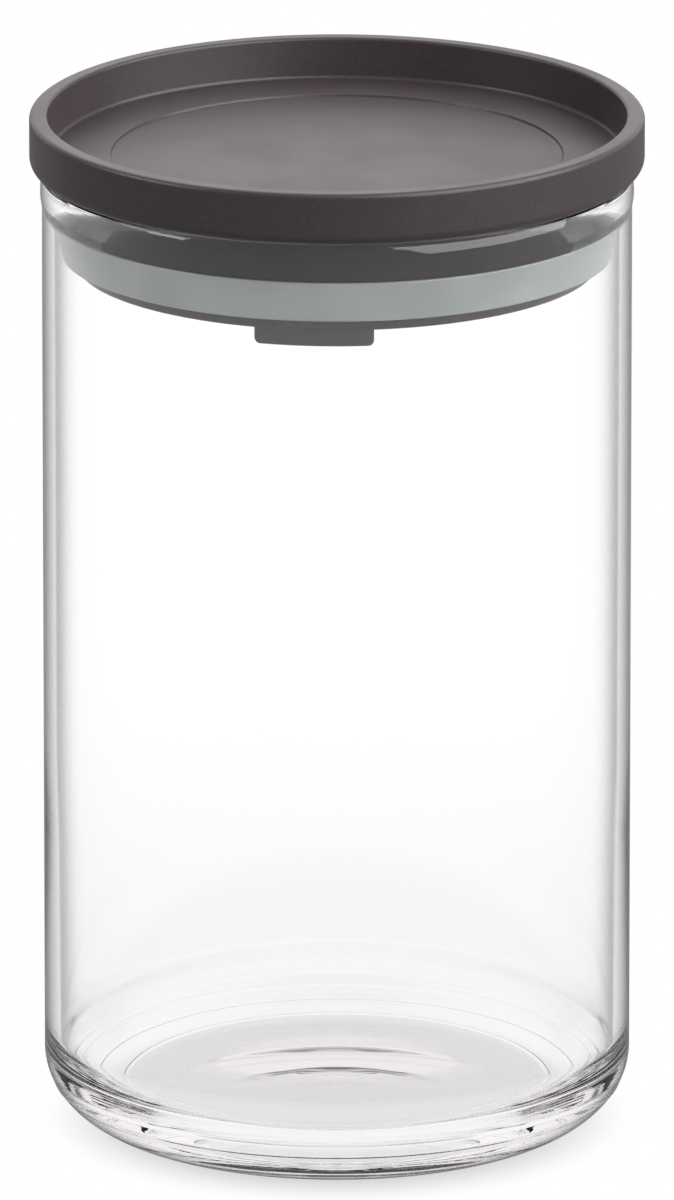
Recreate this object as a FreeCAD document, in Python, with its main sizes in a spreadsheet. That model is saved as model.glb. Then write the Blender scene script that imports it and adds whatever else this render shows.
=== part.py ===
import FreeCAD, Part
import os
import Sketcher

# Glass storage jar with a press-in lid.
# Row frame: +Z up, origin at the centre of the base, the lid's finger tab towards -Y.
# The jar's body stands on the origin. The lid's bodies have their own origin at the centre of the
# lid's underside, so their sketches have heights above zero in the cap and below zero in the plug.

DRIVING_SIZES = [
    # alias, millimetres or degrees, meaning
    ("glass_diameter", 100.0, "outside diameter of the straight glass wall"),
    ("glass_height", 168.0, "base to the top of the glass lip"),
    ("glass_wall", 2.1, "thickness of the glass wall at the mouth"),
    ("mouth_depth", 24.0, "straight part of the mouth that the lid works in"),
    ("wall_draft", 0.6, "how much thicker the wall is at the floor than at the mouth"),
    ("base_thickness", 6.3, "standing plane to the inside floor"),
    ("heel_radius", 14.0, "outside round between wall and base"),
    ("inner_corner_radius", 11.0, "inside round between wall and floor"),
    ("foot_ring_width", 3.0, "flat ring that the jar stands on"),
    ("push_up", 2.0, "depth of the hollow under the base"),
    ("lip_bead", 0.3, "how far the lip stands out past the wall"),
    ("lip_bead_height", 4.0, "height of the thickened lip"),
    ("lid_seat_gap", 0.2, "clearance between the glass lip and the lid's underside"),
    ("rim_overhang", 2.1, "how far the lid stands out past the glass wall"),
    ("rim_height", 9.2, "lid's underside to the top of its rim"),
    ("rim_wall", 3.0, "thickness of the lid's rim"),
    ("rim_bottom_radius", 2.0, "round at the rim's lower outside edge"),
    ("rim_top_radius", 0.9, "round at the rim's upper outside edge"),
    ("rim_inner_radius", 0.5, "rounds inside the rim"),
    ("plate_thickness", 2.1, "thickness of the lid's plate"),
    ("disc_diameter", 76.4, "shallow round recess in the plate"),
    ("disc_depth", 0.25, "depth of that recess"),
    ("seal_space", 8.85, "radial gap between plug wall and glass, filled by the seal"),
    ("plug_wall", 1.8, "thickness of the plug wall"),
    ("plug_depth", 16.5, "lid's underside to the flange's underside"),
    ("flange_gap", 3.83, "clearance between flange and glass"),
    ("flange_thickness", 2.2, "thickness of the flange under the seal"),
    ("spigot_depth", 6.0, "how far the cap's spigot reaches into the plug"),
    ("spigot_wall", 1.6, "thickness of the spigot"),
    ("spigot_gap", 0.05, "clearance between spigot and plug wall"),
    ("snap_height", 0.4, "how far the spigot's snap ridge stands out"),
    ("snap_width", 1.2, "width of the snap ridge at its root"),
    ("snap_end", 1.0, "snap ridge to the spigot's end"),
    ("tab_angle", 26.4, "angle that the finger tab spans"),
    ("tab_drop", 2.9, "how far the tab hangs below the flange"),
    ("tab_thickness", 2.2, "radial thickness of the tab"),
    ("tab_setback", 0.5, "flange edge to the tab's face"),
    ("tab_corner_radius", 0.9, "round at the tab's lower corners"),
    ("key_width", 1.0, "width of the locating key on the plug wall"),
    ("key_length", 3.0, "height of the locating key"),
    ("key_height", 0.5, "how far the key stands out of the plug wall"),
    ("seal_base", 1.9, "thickness of the seal's foot on the flange"),
    ("seal_height", 7.1, "flange to the top of the seal's lip"),
    ("seal_glass_gap", 0.15, "clearance between the seal's lip and the glass"),
    ("seal_lean", 1.3, "how far the lip's foot stands back from its tip"),
    ("seal_lip_tip", 0.8, "thickness of the lip at its tip"),
    ("seal_lip_foot", 2.2, "thickness of the lip at its foot"),
    ("seal_corner", 0.6, "bevel at the seal's lower outside corner"),
]

# Radii from the centre line, worked out from the driving sizes.
GLASS_R = "Sizes.glass_diameter / 2"
MOUTH_R = f"({GLASS_R} - Sizes.glass_wall)"
FLOOR_R = f"({MOUTH_R} - Sizes.wall_draft)"
FOOT_OUTER_R = f"({GLASS_R} - Sizes.heel_radius)"
FOOT_INNER_R = f"({FOOT_OUTER_R} - Sizes.foot_ring_width)"
RIM_R = f"({GLASS_R} + Sizes.rim_overhang)"
RECESS_R = f"({RIM_R} - Sizes.rim_wall)"
PLUG_R = f"({MOUTH_R} - Sizes.seal_space)"
BORE_R = f"({PLUG_R} - Sizes.plug_wall)"
SPIGOT_R = f"({BORE_R} - Sizes.spigot_gap)"
SPIGOT_INNER_R = f"({SPIGOT_R} - Sizes.spigot_wall)"
FLANGE_R = f"({MOUTH_R} - Sizes.flange_gap)"
TAB_R = f"({FLANGE_R} - Sizes.tab_setback)"
SEAL_TIP_R = f"({MOUTH_R} - Sizes.seal_glass_gap)"
SEAL_FOOT_R = f"({SEAL_TIP_R} - Sizes.seal_lean)"

# Heights in the lid's own frame, from the lid's underside.
FLANGE_BOTTOM = "(-Sizes.plug_depth)"
FLANGE_TOP = f"({FLANGE_BOTTOM} + Sizes.flange_thickness)"
TAB_BOTTOM = f"({FLANGE_BOTTOM} - Sizes.tab_drop)"
SEAL_TOP = f"({FLANGE_TOP} + Sizes.seal_height)"
SNAP_LOW = "(-Sizes.spigot_depth + Sizes.snap_end)"
SNAP_HIGH = f"({SNAP_LOW} + Sizes.snap_width)"
SNAP_MID = f"({SNAP_LOW} + Sizes.snap_width / 2)"

TOLERANCE = 1e-4


doc = FreeCAD.newDocument("glass_storage_jar")


def make_sheet():
    """The driving sizes, one row each: name, value, meaning."""
    sheet = doc.addObject("Spreadsheet::Sheet", "Sizes")
    for row, (alias, value, meaning) in enumerate(DRIVING_SIZES, start=1):
        sheet.set(f"A{row}", alias)
        sheet.set(f"B{row}", str(value))
        sheet.set(f"C{row}", meaning)
        sheet.setAlias(f"B{row}", alias)
    doc.recompute()
    return sheet


sheet = make_sheet()


def number(expression):
    """The present value of an expression of sheet cells."""
    return float(sheet.evalExpression(expression))


def make_body(label, height="0"):
    """A body whose origin lies on the row's Z axis at the given height."""
    body = doc.addObject("PartDesign::Body", label)
    body.Label = label
    body.setExpression("Placement.Base.z", height)
    return body


def origin_feature(body, role):
    return next(feature for feature in body.Origin.OriginFeatures if feature.Role == role)


def outline(body, name, corners, plane="XZ_Plane"):
    """A closed sketch of straight edges. Each corner is a pair of expressions: across, up."""
    sketch = body.newObject("Sketcher::SketchObject", name)
    sketch.AttachmentSupport = (origin_feature(body, plane), "")
    sketch.MapMode = "FlatFace"
    points = [FreeCAD.Vector(number(across), number(up), 0) for across, up in corners]
    for start, end in zip(points, points[1:] + points[:1]):
        sketch.addGeometry(Part.LineSegment(start, end), False)
    for edge in range(len(points)):
        following = (edge + 1) % len(points)
        sketch.addConstraint(Sketcher.Constraint("Coincident", edge, 2, following, 1))
    for edge, (corner, point) in enumerate(zip(corners, points)):
        for kind, axis_line, expression, value in (
            ("DistanceX", -2, corner[0], point.x),
            ("DistanceY", -1, corner[1], point.y),
        ):
            if expression == "0":
                sketch.addConstraint(Sketcher.Constraint("PointOnObject", edge, 1, axis_line))
                continue
            index = sketch.addConstraint(Sketcher.Constraint(kind, -1, 1, edge, 1, value))
            constraint = f"corner{edge}_{kind[-1]}"
            sketch.renameConstraint(index, constraint)
            sketch.setExpression(f"Constraints.{constraint}", expression)
    doc.recompute()
    return sketch


def turned(body, name, corners, kind="PartDesign::Revolution"):
    """An outline turned right round the body's Z axis: a Revolution adds and a Groove cuts."""
    sketch = outline(body, name + "_outline", corners)
    before = body.Shape.Volume if kind == "PartDesign::Groove" else 0.0
    feature = body.newObject(kind, name)
    feature.Profile = sketch
    feature.ReferenceAxis = (sketch, ["V_Axis"])
    feature.Angle = 360
    doc.recompute()
    if kind == "PartDesign::Groove" and not feature.Shape.Volume < before - TOLERANCE:
        raise RuntimeError(f"{body.Label}: {name} cuts nothing")
    return feature


def ring_edges(shape, radius, height):
    """Names of the whole-circle edges of one radius at one height, in the body's own frame."""
    names = []
    for index, edge in enumerate(shape.Edges, start=1):
        curve = edge.Curve
        if not isinstance(curve, Part.Circle):
            continue
        same_radius = abs(curve.Radius - radius) < TOLERANCE
        same_height = abs(curve.Center.z - height) < TOLERANCE
        if same_radius and same_height:
            names.append(f"Edge{index}")
    return names


def round_edges(body, name, edges, radius):
    """A fillet on the body's present tip."""
    if not edges:
        raise RuntimeError(f"{body.Label}: no edge for {name}")
    base = body.Tip
    feature = body.newObject("PartDesign::Fillet", name)
    feature.Base = (base, edges)
    feature.setExpression("Radius", radius)
    doc.recompute()
    return feature


def round_ring(body, name, radius_at, height_at, radius):
    """A fillet on the circular edge at one radius and height, given as expressions."""
    edges = ring_edges(body.Tip.Shape, number(radius_at), number(height_at))
    return round_edges(body, name, edges, radius)


def make_glass_jar():
    """One piece of clear pressed glass, open at the top."""
    body = make_body("glass_jar")
    bead_r = f"({GLASS_R} + Sizes.lip_bead)"
    bead_bottom = "(Sizes.glass_height - Sizes.lip_bead_height)"
    turned(
        body,
        "glass_wall_and_base",
        [
            ("0", "0"),
            (GLASS_R, "0"),
            (GLASS_R, f"{bead_bottom} - Sizes.lip_bead_height / 2"),
            (bead_r, bead_bottom),
            (bead_r, "Sizes.glass_height"),
            (MOUTH_R, "Sizes.glass_height"),
            (MOUTH_R, "Sizes.glass_height - Sizes.mouth_depth"),
            (FLOOR_R, "Sizes.base_thickness"),
            ("0", "Sizes.base_thickness"),
        ],
    )
    round_ring(body, "heel_round", GLASS_R, "0", "Sizes.heel_radius")
    round_ring(body, "floor_round", FLOOR_R, "Sizes.base_thickness", "Sizes.inner_corner_radius")
    # The lip is nearly a full round: its two edges share the lip's whole thickness.
    lip_round = "0.46 * (Sizes.glass_wall + Sizes.lip_bead)"
    round_ring(body, "lip_outer_round", bead_r, "Sizes.glass_height", lip_round)
    round_ring(body, "lip_inner_round", MOUTH_R, "Sizes.glass_height", lip_round)
    # The hollow under the base is a shallow cone inside the foot ring.
    turned(
        body,
        "push_up_hollow",
        [("0", "0"), (FOOT_INNER_R, "0"), ("0", "Sizes.push_up")],
        kind="PartDesign::Groove",
    )
    return body


def make_lid_cap(seat):
    """Plate with an upstanding rim, a round recess on top and a spigot underneath."""
    body = make_body("lid_cap", seat)
    turned(
        body,
        "plate_and_rim",
        [
            ("0", "0"),
            (RIM_R, "0"),
            (RIM_R, "Sizes.rim_height"),
            (RECESS_R, "Sizes.rim_height"),
            (RECESS_R, "Sizes.plate_thickness"),
            ("0", "Sizes.plate_thickness"),
        ],
    )
    round_ring(body, "rim_bottom_round", RIM_R, "0", "Sizes.rim_bottom_radius")
    round_ring(body, "rim_top_round", RIM_R, "Sizes.rim_height", "Sizes.rim_top_radius")
    round_ring(body, "rim_inner_round", RECESS_R, "Sizes.rim_height", "Sizes.rim_inner_radius")
    round_ring(body, "rim_floor_round", RECESS_R, "Sizes.plate_thickness", "Sizes.rim_inner_radius")
    turned(
        body,
        "disc_recess",
        [
            ("0", "Sizes.plate_thickness - Sizes.disc_depth"),
            ("Sizes.disc_diameter / 2", "Sizes.plate_thickness - Sizes.disc_depth"),
            ("Sizes.disc_diameter / 2", "Sizes.plate_thickness"),
            ("0", "Sizes.plate_thickness"),
        ],
        kind="PartDesign::Groove",
    )
    # The ridge round the spigot's outside snaps into the plug's groove.
    turned(
        body,
        "spigot",
        [
            (SPIGOT_INNER_R, "0"),
            (SPIGOT_INNER_R, "-Sizes.spigot_depth"),
            (SPIGOT_R, "-Sizes.spigot_depth"),
            (SPIGOT_R, SNAP_LOW),
            (f"{SPIGOT_R} + Sizes.snap_height", SNAP_MID),
            (SPIGOT_R, SNAP_HIGH),
            (SPIGOT_R, "0"),
        ],
    )
    return body


def make_seal_carrier(seat):
    """Plug wall with a snap groove inside, a flange for the seal and one finger tab."""
    body = make_body("seal_carrier", seat)
    # The groove clears the snap ridge by the spigot's own gap on every side.
    turned(
        body,
        "plug_and_flange",
        [
            (BORE_R, "0"),
            (BORE_R, f"{SNAP_HIGH} + Sizes.spigot_gap"),
            (f"{BORE_R} + Sizes.snap_height", f"{SNAP_MID} + Sizes.spigot_gap"),
            (f"{BORE_R} + Sizes.snap_height", f"{SNAP_MID} - Sizes.spigot_gap"),
            (BORE_R, f"{SNAP_LOW} - Sizes.spigot_gap"),
            (BORE_R, FLANGE_BOTTOM),
            (FLANGE_R, FLANGE_BOTTOM),
            (FLANGE_R, FLANGE_TOP),
            (PLUG_R, FLANGE_TOP),
            (PLUG_R, "0"),
        ],
    )
    # The tab hangs from the flange's underside and is centred on the -Y side.
    sketch = outline(
        body,
        "tab_outline",
        [
            (f"-{TAB_R}", TAB_BOTTOM),
            (f"-({TAB_R} - Sizes.tab_thickness)", TAB_BOTTOM),
            (f"-({TAB_R} - Sizes.tab_thickness)", f"{FLANGE_BOTTOM} + Sizes.flange_thickness / 2"),
            (f"-{TAB_R}", f"{FLANGE_BOTTOM} + Sizes.flange_thickness / 2"),
        ],
        plane="YZ_Plane",
    )
    tab = body.newObject("PartDesign::Revolution", "finger_tab")
    tab.Profile = sketch
    tab.ReferenceAxis = (sketch, ["V_Axis"])
    tab.Midplane = True
    tab.setExpression("Angle", "Sizes.tab_angle")
    doc.recompute()
    bottom = number(TAB_BOTTOM)
    corner_edges = [
        f"Edge{index}"
        for index, edge in enumerate(tab.Shape.Edges, start=1)
        if isinstance(edge.Curve, Part.Line)
        and all(abs(vertex.Z - bottom) < TOLERANCE for vertex in edge.Vertexes)
    ]
    round_edges(body, "tab_corner_rounds", corner_edges, "Sizes.tab_corner_radius")
    # The locating key stands on the plug wall above the tab, just under the lid.
    key_sketch = outline(
        body,
        "key_outline",
        [
            ("-Sizes.key_width / 2", f"-({PLUG_R} + Sizes.key_height)"),
            ("Sizes.key_width / 2", f"-({PLUG_R} + Sizes.key_height)"),
            ("Sizes.key_width / 2", f"-({PLUG_R} - Sizes.plug_wall / 2)"),
            ("-Sizes.key_width / 2", f"-({PLUG_R} - Sizes.plug_wall / 2)"),
        ],
        plane="XY_Plane",
    )
    key = body.newObject("PartDesign::Pad", "locating_key")
    key.Profile = key_sketch
    key.setExpression("Length", "Sizes.key_length")
    key.Reversed = True
    doc.recompute()
    return body


def make_silicone_seal(seat):
    """Soft ring on the flange, with a lip that opens upwards along the glass."""
    body = make_body("silicone_seal", seat)
    turned(
        body,
        "seal_ring",
        [
            (PLUG_R, FLANGE_TOP),
            (f"{SEAL_FOOT_R} - Sizes.seal_corner", FLANGE_TOP),
            (SEAL_FOOT_R, f"{FLANGE_TOP} + Sizes.seal_corner"),
            (SEAL_TIP_R, SEAL_TOP),
            (f"{SEAL_TIP_R} - Sizes.seal_lip_tip", SEAL_TOP),
            (f"{SEAL_FOOT_R} - Sizes.seal_lip_foot", f"{FLANGE_TOP} + Sizes.seal_base"),
            (PLUG_R, f"{FLANGE_TOP} + Sizes.seal_base"),
        ],
    )
    return body


def check_document(bodies):
    """Stops the script when a feature failed or a body isn't one sound solid."""
    doc.recompute()
    for item in doc.Objects:
        if "Invalid" in item.State or "Error" in item.State:
            raise RuntimeError(f"{item.Label}: {item.State}")
    for body in bodies:
        shape = body.Shape
        if shape.isNull() or not shape.isValid() or len(shape.Solids) != 1:
            raise RuntimeError(f"{body.Label}: not one valid solid")


LID_SEAT = "Sizes.glass_height + Sizes.lid_seat_gap"
nodes = [
    make_glass_jar(),
    make_lid_cap(LID_SEAT),
    make_seal_carrier(LID_SEAT),
    make_silicone_seal(LID_SEAT),
]
check_document(nodes)

os.makedirs("parts", exist_ok=True)
for node in nodes:
    node.Shape.exportStep(f"parts/{node.Label}.step")
    box = node.Shape.BoundBox
    print(f"{node.Label}: z {box.ZMin:.2f} to {box.ZMax:.2f}, volume {node.Shape.Volume:.0f}")
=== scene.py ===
import math

import bpy
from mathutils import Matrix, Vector


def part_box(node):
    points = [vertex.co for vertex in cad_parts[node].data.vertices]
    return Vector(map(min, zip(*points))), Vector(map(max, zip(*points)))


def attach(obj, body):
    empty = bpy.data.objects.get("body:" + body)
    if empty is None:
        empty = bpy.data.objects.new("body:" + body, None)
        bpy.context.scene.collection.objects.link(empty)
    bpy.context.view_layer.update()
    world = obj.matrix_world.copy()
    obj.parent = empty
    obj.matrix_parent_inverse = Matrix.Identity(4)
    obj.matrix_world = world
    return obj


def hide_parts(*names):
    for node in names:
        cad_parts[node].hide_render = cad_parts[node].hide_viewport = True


# Glass storage jar with a press-in lid, in metres, in the part's own frame: +Z up, origin at the
# centre of the base, finger tab towards -Y.

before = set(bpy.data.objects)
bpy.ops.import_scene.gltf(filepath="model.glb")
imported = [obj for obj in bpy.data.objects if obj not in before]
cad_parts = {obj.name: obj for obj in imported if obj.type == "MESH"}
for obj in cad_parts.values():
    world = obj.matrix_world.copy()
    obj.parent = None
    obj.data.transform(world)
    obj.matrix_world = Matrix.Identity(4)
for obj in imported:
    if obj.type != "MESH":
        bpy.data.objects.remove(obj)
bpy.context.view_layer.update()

MM = 0.001
SAME_POINT, ON_AXIS = 1e-8, 1e-7

# Fineness of the meshes
SEGMENTS = 256
ARC_STEP = math.radians(5)
UNDERSIDE_STEPS, HEEL_STEPS, LIP_STEPS, CORNER_STEPS, FLOOR_STEPS = 160, 160, 24, 100, 160
BLOCK_END_STEPS, BLOCK_MIDDLE_STEPS = 8, 12

# ---------------------------------------------------------------- sizes read from the frame

jar_low, jar_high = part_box("glass_jar")
cap_low, cap_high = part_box("lid_cap")
carrier_low, carrier_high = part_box("seal_carrier")
seal_low, seal_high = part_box("silicone_seal")

GLASS_TOP = jar_high.z
BEAD_R = jar_high.x
SEAT_Z = carrier_high.z
RIM_R = cap_high.x
RIM_TOP = cap_high.z
FLANGE_R = carrier_high.x
FLANGE_HIGH = seal_low.z
TAB_LOW = carrier_low.z
SPIGOT_LOW = cap_low.z
SEAL_TOP = seal_high.z
SEAL_TIP_R = seal_high.x

# ---------------------------------------------------------------- sizes of details

# Glass
LIP_BEAD = 0.3 * MM
GLASS_R = BEAD_R - LIP_BEAD
MOUTH_R = GLASS_R - 2.1 * MM
WAIST_R = MOUTH_R - 0.05 * MM
FLOOR_R = MOUTH_R - 0.6 * MM
MOUTH_DEPTH = 24 * MM
WAIST_Z = 60 * MM
FLOOR_Z = 6.3 * MM
INNER_CORNER = 11 * MM
HEEL_ACROSS, HEEL_UP = 15 * MM, 12.7 * MM
LIP_ACROSS, LIP_UP = 1.4 * MM, 3.8 * MM
LIP_INNER = 0.9 * MM
PUNT_R, PUNT_DEPTH = 32 * MM, 1.7 * MM
RIPPLE_DEPTH, RIPPLE_PITCH, RIPPLE_REACH = 0.010 * MM, 3.9 * MM, 11 * MM
SEAM_Z, SEAM_HEIGHT, SEAM_HALF_WIDTH = 7.1 * MM, 0.10 * MM, 0.35 * MM
RING_RADII = (36.4 * MM, 40.7 * MM, 43.7 * MM)
RING_HEIGHT, RING_HALF_WIDTH = 0.25 * MM, 0.25 * MM
BEAD_START_DEPTH, BEAD_START_ROUND = 6.5 * MM, 6 * MM
BEAD_FULL_DEPTH, BEAD_FULL_ROUND = 4.6 * MM, 3 * MM
MOUTH_ROUND, WAIST_ROUND = 500 * MM, 1000 * MM

# Cap
PLATE_TOP = SEAT_Z + 2.1 * MM
DISC_R, DISC_DEPTH = 38.2 * MM, 0.4 * MM
DISC_SLOPE, DISC_ROUND = 0.15 * MM, 0.12 * MM
RIM_WALL = 3.0 * MM
RIM_LEAN = 0.5 * MM
RIM_BOTTOM_ROUND, RIM_OUTER_ROUND, RIM_INNER_ROUND, RIM_FOOT_ROUND = (
    2.0 * MM, 0.9 * MM, 0.6 * MM, 0.7 * MM,
)
SPIGOT_R, SPIGOT_WALL = 37.2 * MM, 1.6 * MM
SPIGOT_ROOT_ROUND, SPIGOT_BORE_ROUND, SPIGOT_LEAD_ROUND = 0.3 * MM, 0.2 * MM, 0.4 * MM
SNAP_LOW, SNAP_WIDTH, SNAP_HEIGHT = SPIGOT_LOW + 1.0 * MM, 1.2 * MM, 0.4 * MM
SNAP_ROOT_ROUND, SNAP_CREST_ROUND = 0.1 * MM, 0.2 * MM

# Carrier
PLUG_R, PLUG_WALL = 39.05 * MM, 1.8 * MM
FLANGE_THICKNESS = 2.2 * MM
FLANGE_LOW = FLANGE_HIGH - FLANGE_THICKNESS
BORE_ROUND, FLANGE_LOW_ROUND, FLANGE_HIGH_ROUND, PLUG_FOOT_ROUND = (
    0.4 * MM, 0.5 * MM, 0.3 * MM, 0.5 * MM,
)
TAB_R, TAB_THICKNESS = FLANGE_R - 0.5 * MM, 2.2 * MM
TAB_HALF_ANGLE = math.radians(13.2)
TAB_CORNER, TAB_EDGE, TAB_ROOT = 0.9 * MM, 0.4 * MM, 0.6 * MM
TAB_CORNER_REACH = 0.5 * MM
KEY_HALF_WIDTH, KEY_LENGTH, KEY_HEIGHT = 0.5 * MM, 3.0 * MM, 0.5 * MM
KEY_CORNER, KEY_EDGE = 0.15 * MM, 0.2 * MM

# Seal
SEAL_LEAN = 1.3 * MM
SEAL_BASE = 1.9 * MM
SEAL_LIP_TIP, SEAL_LIP_FOOT = 0.8 * MM, 2.2 * MM
SEAL_FOOT_ROUND, SEAL_TIP_ROUND, SEAL_CHANNEL_ROUND = 0.6 * MM, 0.35 * MM, 0.8 * MM

# ---------------------------------------------------------------- looks

GLASS_IOR = 1.5
GLASS_CLEAR = (0.995, 0.995, 0.992)
# Painted shade: the grey that the clear glass turns towards grazing angles, for its dark edges
GLASS_EDGE_SHADE = (0.06, 0.063, 0.06)
# Layer Weight Facing where the painted shade at the glass's edges starts and where it is full
GLASS_EDGE_SHADE_FROM, GLASS_EDGE_SHADE_TO = 0.60, 0.90
GLASS_WAVE_SCALE, GLASS_WAVE_DEPTH, GLASS_WAVE_STRETCH = 30, 0.03 * MM, (1, 1, 0.25)

LID_COLOUR, LID_ROUGHNESS = (0.044, 0.034, 0.0365), 0.40
CARRIER_COLOUR, CARRIER_ROUGHNESS = (0.030, 0.023, 0.0235), 0.38
SPECKLE_DARK, SPECKLE_LIGHT = 0.86, 1.16
GRAIN_SCALE, GRAIN_DEPTH, GRAIN_STRENGTH = 2600, 0.02 * MM, 0.6
GLOSS_CLOUD_SCALE, GLOSS_BELOW, GLOSS_ABOVE = 60, 0.03, 0.04

SILICONE_DARK, SILICONE_LIGHT = (0.22, 0.24, 0.232), (0.25, 0.274, 0.266)
SILICONE_CLOUD_SCALE, SILICONE_ROUGHNESS = 120, (0.32, 0.42)
SILICONE_FINE_SCALE, SILICONE_FINE_DEPTH, SILICONE_FINE_STRENGTH = 1500, 0.01 * MM, 0.5
SILICONE_SCATTER, SILICONE_SCATTER_RADIUS = 0.8, 0.004

# Noise values are stretched from this range to the whole of 0 to 1.
NOISE_LOW, NOISE_HIGH = 0.3, 0.7

# ---------------------------------------------------------------- studio sizes

CAMERA_AZIMUTH = math.radians(5.1)
CAMERA_ELEVATION = math.radians(16.43)
CAMERA_DISTANCE = 4.0
CAMERA_LENS = 705
CAMERA_SENSOR = 36
CAMERA_CLIP_END = 100
LOOK_AT = Vector((0, 0, 0.0915))
MAX_BOUNCES = 48

FLOOR_REACH, FLOOR_DROP = 6.0, 0.2 * MM
SOFTBOX_DISTANCE = 0.9
# name, azimuth, elevation, size, power
SOFTBOXES = (
    ("key_softbox", 70, 38, (1.2, 1.0), 16),
    ("top_softbox", 200, 62, (0.6, 0.6), 2),
    ("left_softbox", -75, 35, (0.5, 0.3), 2.5),
)

# Ranges for the floor (distance from the jar's axis) and the world (a direction's height, or how
# nearly it points at the backdrop): low, high, brightness at low, brightness at high.
FLOOR_SHADOW = (0.030, 0.052, 0.55, 1.0)
FLOOR_NEAR = (0.06, 0.3, 0.98, 1.07)
# Painted shade on the floor under the jar, seen only through the glass and in reflections
FLOOR_UNDER_SHADE = (0.034, 0.045, 0.78, 1.0)
WORLD_BACK = (0.5, 0.93, 0.0, 1.25)
WORLD_LOW = (-0.1, -0.05, 0.0, 1.0)
WORLD_OVERHEAD = (0.3, 0.6, 0.0, 1.0)
# Plain brightnesses
FLOOR_REFLECTED = 0.3
WORLD_ROOM = 0.2
WORLD_COLOUR = (1, 0.96, 0.955, 1)


# ---------------------------------------------------------------- outlines

def rounded(corners, closed=False):
    """An outline of straight runs and tangent arcs.

    Each corner is (radius, height, round). The result is a list of (point, normal), with the
    normal on the right-hand side of the way along. A corner with no round is sharp and appears
    twice.
    """
    count = len(corners)
    outline = []

    def normal_of(start, end):
        along = (end - start).normalized()
        return Vector((along.y, -along.x))

    for index, (across, up, size) in enumerate(corners):
        here = Vector((across, up))
        before = Vector(corners[index - 1][:2])
        after = Vector(corners[(index + 1) % count][:2])
        if not closed and index == 0:
            outline.append((here, normal_of(here, after)))
            continue
        if not closed and index == count - 1:
            outline.append((here, normal_of(before, here)))
            continue
        first, last = normal_of(before, here), normal_of(here, after)
        turn = math.atan2(first.x * last.y - first.y * last.x, first.dot(last))
        if size == 0:
            outline.append((here, first))
            outline.append((here, last))
            continue
        inset = size * math.tan(abs(turn) / 2)
        start = here + (before - here).normalized() * inset
        side = math.copysign(1, turn)
        centre = start - first * size * side
        steps = max(2, math.ceil(abs(turn) / ARC_STEP))
        for step in range(steps + 1):
            angle = turn * step / steps
            normal = Vector((
                first.x * math.cos(angle) - first.y * math.sin(angle),
                first.x * math.sin(angle) + first.y * math.cos(angle),
            ))
            outline.append((centre + normal * size * side, normal))
    return outline


def curved(point_at, start, end, steps):
    """An outline along point_at(value) from start to end, with normals on the right-hand side."""
    outline = []
    nudge = (end - start) * 1e-5
    for step in range(steps + 1):
        value = start + (end - start) * step / steps
        along = (point_at(value + nudge) - point_at(value - nudge)).normalized()
        outline.append((point_at(value), Vector((along.y, -along.x))))
    return outline


def ridge(distance, height, half_width):
    """Height of a smooth low ridge at a distance from its crest."""
    return height * math.exp(-((distance / half_width) ** 2))


# ---------------------------------------------------------------- solids: vertices, normals, faces

def lathed(outline, closed=False):
    """Turns an outline right round Z. Its normals are kept, so arcs and flats shade exactly."""
    vertices, normals, faces, rings = [], [], [], []
    for point, normal in outline:
        on_axis = point.x < ON_AXIS
        ring = []
        for segment in range(1 if on_axis else SEGMENTS):
            angle = 2 * math.pi * segment / SEGMENTS
            cos_a, sin_a = math.cos(angle), math.sin(angle)
            ring.append(len(vertices))
            vertices.append((point.x * cos_a, point.x * sin_a, point.y))
            if on_axis:
                normals.append((0.0, 0.0, math.copysign(1.0, normal.y)))
            else:
                normals.append((normal.x * cos_a, normal.x * sin_a, normal.y))
        rings.append(ring)
    following_rings = rings[1:] + rings[:1] if closed else rings[1:]
    following_points = outline[1:] + outline[:1] if closed else outline[1:]
    pairs = zip(rings, following_rings, outline, following_points)
    for lower, upper, (start, _), (end, _) in pairs:
        if (end - start).length > SAME_POINT:
            faces += faces_between(lower, upper)
    return vertices, normals, faces


def faces_between(lower, upper):
    """Faces from one ring to the next. A ring of one vertex is a point on the axis."""
    faces = []
    for segment in range(SEGMENTS):
        following = (segment + 1) % SEGMENTS
        if len(lower) == 1:
            faces.append((lower[0], upper[following], upper[segment]))
        elif len(upper) == 1:
            faces.append((lower[segment], lower[following], upper[0]))
        else:
            faces.append((lower[segment], lower[following], upper[following], upper[segment]))
    return faces


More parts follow.
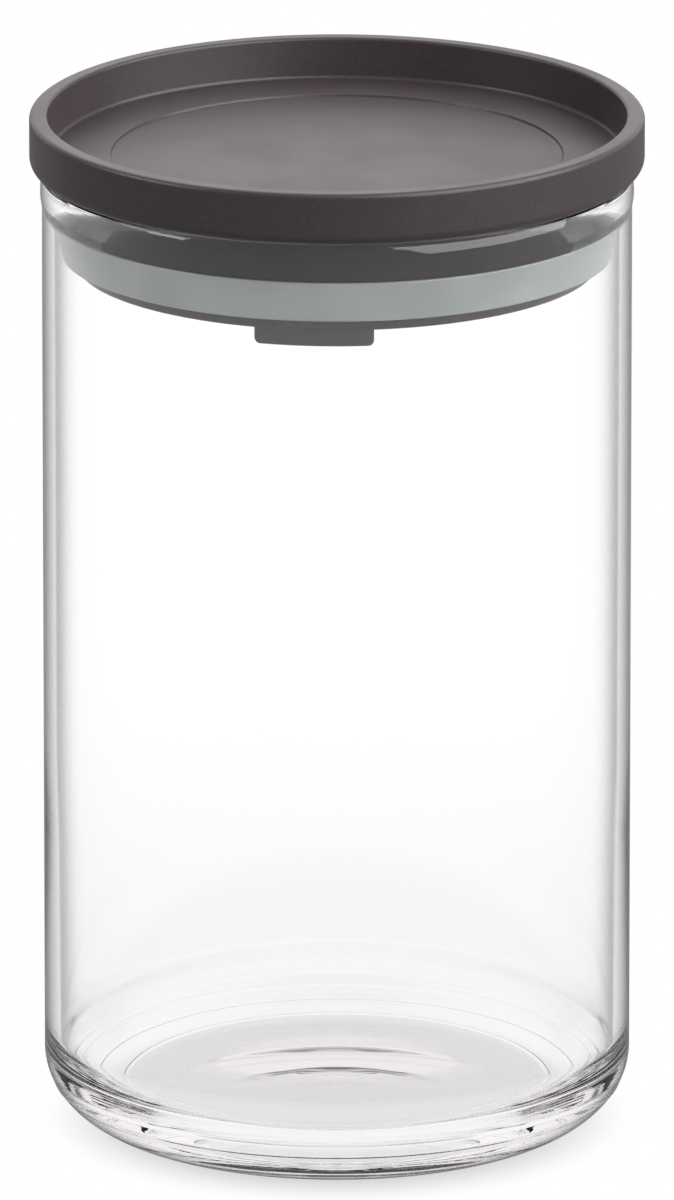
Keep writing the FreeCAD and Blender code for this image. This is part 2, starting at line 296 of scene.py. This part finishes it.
def arc_block(section, half_angle, corner, corner_low):
    """A closed section carried round Z from -half_angle to +half_angle, centred on -Y.

    Points at or below corner_low rise near the two ends, which rounds the lower corners.
    """
    radius = max(point.x for point, _ in section)
    corner_angle = corner / radius
    stations = []
    for step in range(BLOCK_END_STEPS + 1):
        tilt = math.pi / 2 * (1 - step / BLOCK_END_STEPS)
        angle = -half_angle + corner_angle * (1 - math.sin(tilt))
        stations.append((angle, corner * (1 - math.cos(tilt)), -tilt))
    inner = half_angle - corner_angle
    for step in range(1, BLOCK_MIDDLE_STEPS):
        stations.append((-inner + 2 * inner * step / BLOCK_MIDDLE_STEPS, 0.0, 0.0))
    first_end = stations[:BLOCK_END_STEPS + 1]
    stations += [(-angle, lift, -tilt) for angle, lift, tilt in reversed(first_end)]

    vertices, normals, faces, rings = [], [], [], []
    for angle, lift, tilt in stations:
        outward = Vector((math.sin(angle), -math.cos(angle), 0))
        along = Vector((math.cos(angle), math.sin(angle), 0))
        ring = []
        for point, normal in section:
            low = point.y <= corner_low
            place = outward * point.x + Vector((0, 0, point.y + (lift if low else 0)))
            direction_of = outward * normal.x + Vector((0, 0, normal.y))
            if low and normal.y < 0:
                direction_of = outward * normal.x + Vector((0, 0, normal.y * math.cos(tilt)))
                direction_of += along * (-normal.y * math.sin(tilt))
            ring.append(len(vertices))
            vertices.append(tuple(place))
            normals.append(tuple(direction_of.normalized()))
        rings.append(ring)
    count = len(section)
    for before, after in zip(rings, rings[1:]):
        for index in range(count):
            following = (index + 1) % count
            if (section[index][0] - section[following][0]).length > SAME_POINT:
                faces.append((before[index], after[index], after[following], before[following]))
    for ring, (angle, _, _), side in ((rings[0], stations[0], -1), (rings[-1], stations[-1], 1)):
        cap = []
        for index in ring:
            cap.append(len(vertices))
            vertices.append(vertices[index])
            normals.append((side * math.cos(angle), side * math.sin(angle), 0.0))
        faces.append(tuple(cap if side < 0 else reversed(cap)))
    return vertices, normals, faces


def make_piece(name, solids, node, body, material):
    """One object from several solids. It stands for a CAD node and rides on its body."""
    vertices, normals, faces = [], [], []
    for more_vertices, more_normals, more_faces in solids:
        first = len(vertices)
        vertices += more_vertices
        normals += more_normals
        faces += [tuple(index + first for index in face) for face in more_faces]
    mesh = bpy.data.meshes.new(name)
    mesh.from_pydata(vertices, [], faces)
    mesh.polygons.foreach_set("use_smooth", [True] * len(mesh.polygons))
    mesh.normals_split_custom_set_from_vertices(normals)
    mesh.update()
    mesh.materials.append(material)
    piece = bpy.data.objects.new(name, mesh)
    bpy.context.scene.collection.objects.link(piece)
    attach(piece, body)
    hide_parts(node)
    return piece


# ---------------------------------------------------------------- the jar and the lid

def underside(radius):
    """The hollow under the base: a shallow dome with the mould's faint rings in the middle."""
    dome = PUNT_DEPTH * (1 - min(abs(radius) / PUNT_R, 1) ** 2) ** 2
    fade = math.exp(-((radius / RIPPLE_REACH) ** 2))
    rings = RIPPLE_DEPTH * (1 - math.cos(2 * math.pi * radius / RIPPLE_PITCH)) * fade
    return Vector((radius, dome - rings))


def heel(angle):
    """A quarter ellipse from the foot ring to the wall, with the mould's seam on it."""
    along = Vector((math.cos(angle), math.sin(angle)))
    outward = Vector((along.x / HEEL_ACROSS, along.y / HEEL_UP)).normalized()
    point = Vector((GLASS_R - HEEL_ACROSS + HEEL_ACROSS * along.x, HEEL_UP + HEEL_UP * along.y))
    return point + outward * ridge(point.y - SEAM_Z, SEAM_HEIGHT, SEAM_HALF_WIDTH)


def outer_lip(angle):
    """The outside half of the lip, a quarter ellipse."""
    return Vector((
        BEAD_R - LIP_ACROSS + LIP_ACROSS * math.cos(angle),
        GLASS_TOP - LIP_UP + LIP_UP * math.sin(angle),
    ))


def inside_corner(angle):
    """The round between wall and floor, with the plunger's rings on it."""
    radius = FLOOR_R - INNER_CORNER + INNER_CORNER * math.sin(angle)
    height = FLOOR_Z + INNER_CORNER - INNER_CORNER * math.cos(angle)
    return Vector((radius, height + plunger_rings(radius)))


def inside_floor(radius):
    return Vector((radius, FLOOR_Z + plunger_rings(radius)))


def plunger_rings(radius):
    """Height of the low rings that the plunger leaves on the inside of the base."""
    return sum(ridge(radius - crest, RING_HEIGHT, RING_HALF_WIDTH) for crest in RING_RADII)


def glass_jar():
    quarter = math.pi / 2
    corner_r = FLOOR_R - INNER_CORNER
    outline = curved(underside, 0, PUNT_R, UNDERSIDE_STEPS)
    outline += curved(heel, -quarter, 0, HEEL_STEPS)
    outline += rounded([
        (GLASS_R, HEEL_UP, 0),
        (GLASS_R, GLASS_TOP - BEAD_START_DEPTH, BEAD_START_ROUND),
        (BEAD_R, GLASS_TOP - BEAD_FULL_DEPTH, BEAD_FULL_ROUND),
        (BEAD_R, GLASS_TOP - LIP_UP, 0),
    ])[1:-1]
    outline += curved(outer_lip, 0, quarter, LIP_STEPS)
    outline += rounded([
        (BEAD_R - LIP_ACROSS, GLASS_TOP, 0),
        (MOUTH_R, GLASS_TOP, LIP_INNER),
        (MOUTH_R, GLASS_TOP - MOUTH_DEPTH, MOUTH_ROUND),
        (WAIST_R, WAIST_Z, WAIST_ROUND),
        (FLOOR_R, FLOOR_Z + INNER_CORNER, 0),
    ])[1:-1]
    outline += curved(inside_corner, quarter, 0, CORNER_STEPS)
    outline += curved(inside_floor, corner_r, 0, FLOOR_STEPS)[1:]
    solids = [lathed(outline)]
    piece = make_piece("jar_glass", solids, "glass_jar", "jar", glass_material())
    # Real glass passes most light. Its shadow would leave the seal and the plug too dark.
    piece.visible_shadow = False


def lid_cap():
    inner = SPIGOT_R - SPIGOT_WALL
    recess_r = RIM_R - RIM_WALL
    snap_middle = SNAP_LOW + SNAP_WIDTH / 2
    outline = rounded([
        (0, SEAT_Z, 0),
        (inner, SEAT_Z, SPIGOT_ROOT_ROUND),
        (inner, SPIGOT_LOW, SPIGOT_BORE_ROUND),
        (SPIGOT_R, SPIGOT_LOW, SPIGOT_LEAD_ROUND),
        (SPIGOT_R, SNAP_LOW, SNAP_ROOT_ROUND),
        (SPIGOT_R + SNAP_HEIGHT, snap_middle, SNAP_CREST_ROUND),
        (SPIGOT_R, SNAP_LOW + SNAP_WIDTH, SNAP_ROOT_ROUND),
        (SPIGOT_R, SEAT_Z, 0),
        (RIM_R, SEAT_Z, RIM_BOTTOM_ROUND),
        (RIM_R, RIM_TOP, RIM_OUTER_ROUND),
        (recess_r, RIM_TOP, RIM_INNER_ROUND),
        (recess_r - RIM_LEAN, PLATE_TOP, RIM_FOOT_ROUND),
        (DISC_R + DISC_SLOPE, PLATE_TOP, DISC_ROUND),
        (DISC_R, PLATE_TOP - DISC_DEPTH, DISC_ROUND),
        (0, PLATE_TOP - DISC_DEPTH, 0),
    ])
    material = plastic_material("lid_plastic", LID_COLOUR, LID_ROUGHNESS)
    make_piece("cap", [lathed(outline)], "lid_cap", "lid", material)


def seal_carrier():
    bore_r = PLUG_R - PLUG_WALL
    groove_r = bore_r + SNAP_HEIGHT
    outline = rounded([
        (bore_r, SEAT_Z, 0),
        (bore_r, SNAP_LOW + SNAP_WIDTH, 0),
        (groove_r, SNAP_LOW + SNAP_WIDTH / 2, 0),
        (bore_r, SNAP_LOW, 0),
        (bore_r, FLANGE_LOW, BORE_ROUND),
        (FLANGE_R, FLANGE_LOW, FLANGE_LOW_ROUND),
        (FLANGE_R, FLANGE_HIGH, FLANGE_HIGH_ROUND),
        (PLUG_R, FLANGE_HIGH, PLUG_FOOT_ROUND),
        (PLUG_R, SEAT_Z, 0),
    ], closed=True)
    tab_section = rounded([
        (TAB_R - TAB_THICKNESS, TAB_LOW, TAB_EDGE),
        (TAB_R, TAB_LOW, TAB_EDGE),
        (TAB_R, FLANGE_LOW + TAB_ROOT, 0),
        (TAB_R - TAB_THICKNESS, FLANGE_LOW + TAB_ROOT, 0),
    ], closed=True)
    key_section = rounded([
        (PLUG_R - PLUG_WALL / 2, SEAT_Z - KEY_LENGTH, 0),
        (PLUG_R + KEY_HEIGHT, SEAT_Z - KEY_LENGTH, KEY_EDGE),
        (PLUG_R + KEY_HEIGHT, SEAT_Z, 0),
        (PLUG_R - PLUG_WALL / 2, SEAT_Z, 0),
    ], closed=True)
    solids = [
        lathed(outline, closed=True),
        arc_block(tab_section, TAB_HALF_ANGLE, TAB_CORNER, TAB_LOW + TAB_CORNER_REACH),
        arc_block(key_section, KEY_HALF_WIDTH / PLUG_R, KEY_CORNER, 0),
    ]
    material = plastic_material("carrier_plastic", CARRIER_COLOUR, CARRIER_ROUGHNESS)
    make_piece("carrier", solids, "seal_carrier", "lid", material)


def silicone_seal():
    foot_r = SEAL_TIP_R - SEAL_LEAN
    channel = FLANGE_HIGH + SEAL_BASE
    outline = rounded([
        (PLUG_R, FLANGE_HIGH, 0),
        (foot_r, FLANGE_HIGH, SEAL_FOOT_ROUND),
        (SEAL_TIP_R, SEAL_TOP, SEAL_TIP_ROUND),
        (SEAL_TIP_R - SEAL_LIP_TIP, SEAL_TOP, SEAL_TIP_ROUND),
        (foot_r - SEAL_LIP_FOOT, channel, SEAL_CHANNEL_ROUND),
        (PLUG_R, channel, 0),
    ], closed=True)
    solids = [lathed(outline, closed=True)]
    make_piece("seal", solids, "silicone_seal", "lid", silicone_material())


# ---------------------------------------------------------------- materials

def new_material(name):
    material = bpy.data.materials.new(name)
    material.use_nodes = True
    nodes = material.node_tree.nodes
    nodes.clear()
    output = nodes.new("ShaderNodeOutputMaterial")
    shader = nodes.new("ShaderNodeBsdfPrincipled")
    material.node_tree.links.new(shader.outputs["BSDF"], output.inputs["Surface"])
    return material, shader


def ranged(tree, value, low, high, at_low, at_high):
    """Maps low..high smoothly to at_low..at_high and holds the value past both ends."""
    node = tree.nodes.new("ShaderNodeMapRange")
    node.interpolation_type = "SMOOTHSTEP"
    node.inputs["From Min"].default_value = low
    node.inputs["From Max"].default_value = high
    node.inputs["To Min"].default_value = at_low
    node.inputs["To Max"].default_value = at_high
    tree.links.new(value, node.inputs["Value"])
    return node.outputs["Result"]


def noise(tree, scale, detail, stretch=(1, 1, 1)):
    """Noise in the object's own metres."""
    place = tree.nodes.new("ShaderNodeTexCoord")
    mapping = tree.nodes.new("ShaderNodeMapping")
    mapping.inputs["Scale"].default_value = stretch
    texture = tree.nodes.new("ShaderNodeTexNoise")
    texture.inputs["Scale"].default_value = scale
    texture.inputs["Detail"].default_value = detail
    tree.links.new(place.outputs["Object"], mapping.inputs["Vector"])
    tree.links.new(mapping.outputs["Vector"], texture.inputs["Vector"])
    return texture.outputs["Fac"]


def bumped(tree, height, distance, strength=1.0):
    node = tree.nodes.new("ShaderNodeBump")
    node.inputs["Distance"].default_value = distance
    node.inputs["Strength"].default_value = strength
    tree.links.new(height, node.inputs["Height"])
    return node.outputs["Normal"]


def blended(tree, factor, first, second):
    """A colour between two colours."""
    node = tree.nodes.new("ShaderNodeMix")
    node.data_type = "RGBA"
    node.inputs["A"].default_value = (*first, 1)
    node.inputs["B"].default_value = (*second, 1)
    tree.links.new(factor, node.inputs["Factor"])
    return node.outputs["Result"]


def glass_material():
    """Clear glass. A grey tint at grazing angles is painted shade that stands in for the dark
    edges of thick glass.
    """
    material, shader = new_material("clear_glass")
    tree = material.node_tree
    shader.inputs["Roughness"].default_value = 0.0
    shader.inputs["IOR"].default_value = GLASS_IOR
    shader.inputs["Transmission Weight"].default_value = 1.0
    weight = tree.nodes.new("ShaderNodeLayerWeight")
    # Painted shade: the glass's colour turns grey towards grazing angles.
    painted_edge_shade = ranged(tree, weight.outputs["Facing"], GLASS_EDGE_SHADE_FROM, GLASS_EDGE_SHADE_TO, 0, 1)
    tree.links.new(blended(tree, painted_edge_shade, GLASS_CLEAR, GLASS_EDGE_SHADE), shader.inputs["Base Color"])
    waves = noise(tree, GLASS_WAVE_SCALE, 1, GLASS_WAVE_STRETCH)
    tree.links.new(bumped(tree, waves, GLASS_WAVE_DEPTH), shader.inputs["Normal"])
    return material


def plastic_material(name, colour, roughness):
    """Moulded plastic with a fine spark-eroded grain and slightly uneven gloss."""
    material, shader = new_material(name)
    tree = material.node_tree
    dark = tuple(SPECKLE_DARK * part for part in colour)
    light = tuple(SPECKLE_LIGHT * part for part in colour)
    grain = noise(tree, GRAIN_SCALE, 2)
    cloud = noise(tree, GLOSS_CLOUD_SCALE, 3)
    speckle = ranged(tree, grain, NOISE_LOW, NOISE_HIGH, 0, 1)
    tree.links.new(blended(tree, speckle, dark, light), shader.inputs["Base Color"])
    smooth, rough = roughness - GLOSS_BELOW, roughness + GLOSS_ABOVE
    gloss = ranged(tree, cloud, NOISE_LOW, NOISE_HIGH, smooth, rough)
    tree.links.new(gloss, shader.inputs["Roughness"])
    tree.links.new(bumped(tree, grain, GRAIN_DEPTH, GRAIN_STRENGTH), shader.inputs["Normal"])
    return material


def silicone_material():
    """Milky grey silicone rubber: translucent, slightly uneven, with a soft gloss."""
    material, shader = new_material("seal_silicone")
    tree = material.node_tree
    cloud = noise(tree, SILICONE_CLOUD_SCALE, 3)
    fine = noise(tree, SILICONE_FINE_SCALE, 2)
    factor = ranged(tree, cloud, NOISE_LOW, NOISE_HIGH, 0, 1)
    colour = blended(tree, factor, SILICONE_DARK, SILICONE_LIGHT)
    tree.links.new(colour, shader.inputs["Base Color"])
    gloss = ranged(tree, cloud, NOISE_LOW, NOISE_HIGH, *SILICONE_ROUGHNESS)
    tree.links.new(gloss, shader.inputs["Roughness"])
    bumps = bumped(tree, fine, SILICONE_FINE_DEPTH, SILICONE_FINE_STRENGTH)
    tree.links.new(bumps, shader.inputs["Normal"])
    shader.inputs["Subsurface Weight"].default_value = SILICONE_SCATTER
    shader.inputs["Subsurface Radius"].default_value = (SILICONE_SCATTER_RADIUS,) * 3
    return material


# ---------------------------------------------------------------- studio

def direction(azimuth, elevation):
    """Unit vector towards azimuth, elevation. Azimuth 0 is -Y and 90 degrees is +X."""
    return Vector((
        math.sin(azimuth) * math.cos(elevation),
        -math.cos(azimuth) * math.cos(elevation),
        math.sin(elevation),
    ))


def aim(item, azimuth, elevation, distance):
    """Puts a camera or light at a distance from the jar's middle and turns it to face the jar."""
    away = direction(azimuth, elevation)
    item.location = LOOK_AT + away * distance
    item.rotation_euler = (-away).to_track_quat("-Z", "Y").to_euler()
    bpy.context.scene.collection.objects.link(item)


def make_camera():
    data = bpy.data.cameras.new("camera")
    data.lens = CAMERA_LENS
    data.sensor_width = CAMERA_SENSOR
    data.clip_end = CAMERA_CLIP_END
    camera = bpy.data.objects.new("camera", data)
    aim(camera, CAMERA_AZIMUTH, CAMERA_ELEVATION, CAMERA_DISTANCE)
    bpy.context.scene.camera = camera


def softbox(name, azimuth, elevation, size, power):
    """A rectangular light, azimuth and elevation in degrees. It isn't seen through the glass."""
    data = bpy.data.lights.new(name, "AREA")
    data.shape = "RECTANGLE"
    data.size, data.size_y = size
    data.energy = power
    light = bpy.data.objects.new(name, data)
    light.visible_transmission = False
    aim(light, math.radians(azimuth), math.radians(elevation), SOFTBOX_DISTANCE)


def computed(tree, operation, first, second):
    """Maths on two sockets or numbers."""
    node = tree.nodes.new("ShaderNodeMath")
    node.operation = operation
    for value, socket in zip((first, second), node.inputs):
        if isinstance(value, (int, float)):
            socket.default_value = value
        else:
            tree.links.new(value, socket)
    return node.outputs["Value"]


def by_ray(tree, kind, value_there, otherwise):
    """One brightness for one kind of ray and another for the rest. Used on the stage only."""
    path = tree.nodes.new("ShaderNodeLightPath")
    mix = tree.nodes.new("ShaderNodeMix")
    tree.links.new(path.outputs[kind], mix.inputs["Factor"])
    for value, socket in ((otherwise, mix.inputs["A"]), (value_there, mix.inputs["B"])):
        if isinstance(value, (int, float)):
            socket.default_value = value
        else:
            tree.links.new(value, socket)
    return mix.outputs["Result"]


def make_floor():
    """A plain pale light table with the jar's soft contact shadow.

    Through the glass and in reflections it has painted shade under the jar. It is dimmer in
    reflections than through the glass, and is clear from below.
    """
    mesh = bpy.data.meshes.new("floor")
    signs = ((-1, -1), (1, -1), (1, 1), (-1, 1))
    mesh.from_pydata([(x * FLOOR_REACH, y * FLOOR_REACH, 0) for x, y in signs], [], [(0, 1, 2, 3)])
    floor = bpy.data.objects.new("floor", mesh)
    floor.location.z = -FLOOR_DROP
    bpy.context.scene.collection.objects.link(floor)
    material = bpy.data.materials.new("pale_floor")
    material.use_nodes = True
    tree = material.node_tree
    tree.nodes.clear()
    output = tree.nodes.new("ShaderNodeOutputMaterial")
    glow = tree.nodes.new("ShaderNodeEmission")
    place = tree.nodes.new("ShaderNodeTexCoord")
    distance = tree.nodes.new("ShaderNodeVectorMath")
    distance.operation = "LENGTH"
    tree.links.new(place.outputs["Object"], distance.inputs[0])
    away = distance.outputs["Value"]
    # under: painted shade on the floor under the jar, for rays through the glass and reflections
    # only
    under, near = ranged(tree, away, *FLOOR_UNDER_SHADE), ranged(tree, away, *FLOOR_NEAR)
    through_glass = computed(tree, "MULTIPLY", under, near)
    reflected = computed(tree, "MULTIPLY", through_glass, FLOOR_REFLECTED)
    indirect = by_ray(tree, "Is Reflection Ray", reflected, through_glass)
    shadow = ranged(tree, away, *FLOOR_SHADOW)
    tree.links.new(by_ray(tree, "Is Camera Ray", shadow, indirect), glow.inputs["Strength"])
    clear = tree.nodes.new("ShaderNodeBsdfTransparent")
    sides = tree.nodes.new("ShaderNodeMixShader")
    geometry = tree.nodes.new("ShaderNodeNewGeometry")
    tree.links.new(geometry.outputs["Backfacing"], sides.inputs["Fac"])
    tree.links.new(glow.outputs["Emission"], sides.inputs[1])
    tree.links.new(clear.outputs["BSDF"], sides.inputs[2])
    tree.links.new(sides.outputs["Shader"], output.inputs["Surface"])
    floor.data.materials.append(material)


def make_world():
    """Plain white to the camera.

    Reflections and glass see a white backdrop behind the jar and a dim room at the sides and in
    front. Glass sees white overhead too.
    """
    world = bpy.data.worlds.new("studio")
    bpy.context.scene.world = world
    world.use_nodes = True
    tree = world.node_tree
    background = tree.nodes["Background"]
    background.inputs["Color"].default_value = WORLD_COLOUR
    place = tree.nodes.new("ShaderNodeTexCoord")
    facing = tree.nodes.new("ShaderNodeVectorMath")
    facing.operation = "DOT_PRODUCT"
    facing.inputs[1].default_value = -direction(CAMERA_AZIMUTH, 0)
    split = tree.nodes.new("ShaderNodeSeparateXYZ")
    tree.links.new(place.outputs["Generated"], facing.inputs[0])
    tree.links.new(place.outputs["Generated"], split.inputs["Vector"])
    back = ranged(tree, facing.outputs["Value"], *WORLD_BACK)
    above = ranged(tree, split.outputs["Z"], *WORLD_LOW)
    room = computed(tree, "ADD", computed(tree, "MULTIPLY", back, above), WORLD_ROOM)
    overhead = ranged(tree, split.outputs["Z"], *WORLD_OVERHEAD)
    seen_in_glass = computed(tree, "MAXIMUM", computed(tree, "MINIMUM", room, 1.0), overhead)
    indirect = by_ray(tree, "Is Transmission Ray", seen_in_glass, room)
    tree.links.new(by_ray(tree, "Is Camera Ray", 1.0, indirect), background.inputs["Strength"])


glass_jar()
lid_cap()
seal_carrier()
silicone_seal()

scene = bpy.context.scene
scene.view_settings.view_transform = "Standard"
scene.cycles.max_bounces = MAX_BOUNCES
scene.cycles.glossy_bounces = MAX_BOUNCES
scene.cycles.transmission_bounces = MAX_BOUNCES
make_camera()
make_floor()
make_world()
for softbox_values in SOFTBOXES:
    softbox(*softbox_values)
